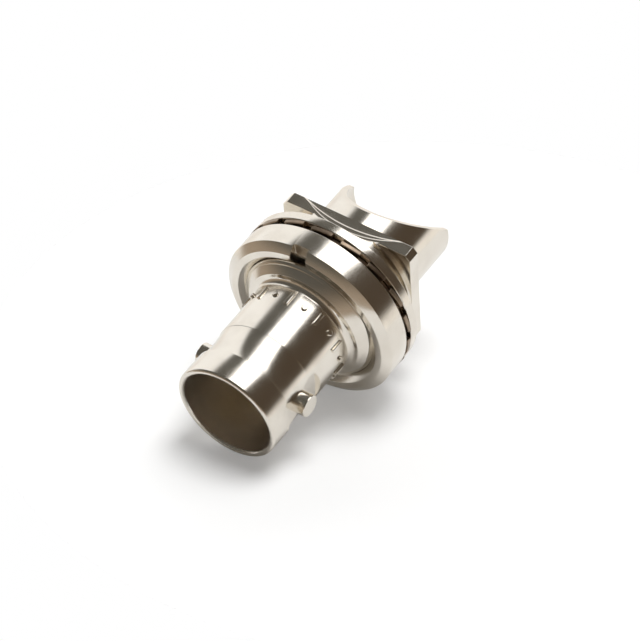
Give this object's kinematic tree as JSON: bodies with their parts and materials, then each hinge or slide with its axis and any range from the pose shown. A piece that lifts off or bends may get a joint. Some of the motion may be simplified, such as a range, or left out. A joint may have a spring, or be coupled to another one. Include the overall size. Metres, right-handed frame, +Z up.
{
  "type": "bnc connector",
  "caption": "Panel-mounting coaxial jack with bayonet lugs, threaded boss, ring nut and washers, milled flange and slant-cut rear shroud.",
  "frame": {"origin": "on the connector's axis at the flange's front face, which seats on the panel", "axes": "+Y along the axis to the rear, so the mouth looks along -Y; +Z up, square to the flange's milled flats; X along the bayonet lugs"},
  "size_m": [0.0166, 0.0261, 0.0166],
  "materials": {
    "nickel_plate": "polished",
    "white_insulator": "matte",
    "gold_plate": "polished"
  },
  "bodies": {
    "jack": {"shell": "nickel_plate", "front_insulator": "white_insulator", "centre_contact": "gold_plate", "rear_insulator": "white_insulator", "press_ring": "nickel_plate"},
    "washers": {"lock_washer": "nickel_plate", "flat_washer": "nickel_plate"},
    "nut": {"ring_nut": "nickel_plate"}
  },
  "joints": [
    {"name": "nut_travel", "type": "slide", "parent": "jack", "child": "washers", "axis": [0, 1, 0], "range_m": [-0.0018, 0.00203]},
    {"name": "nut_turn", "type": "hinge", "parent": "washers", "child": "nut", "pos_m": [0, -0.005, 0], "axis": [0, 1, 0], "range_deg": [-714, 805]}
  ],
  "couplings": [
    {"joint": "nut_travel", "follows": "nut_turn", "m_per_rad": 0.00014435}
  ]
}
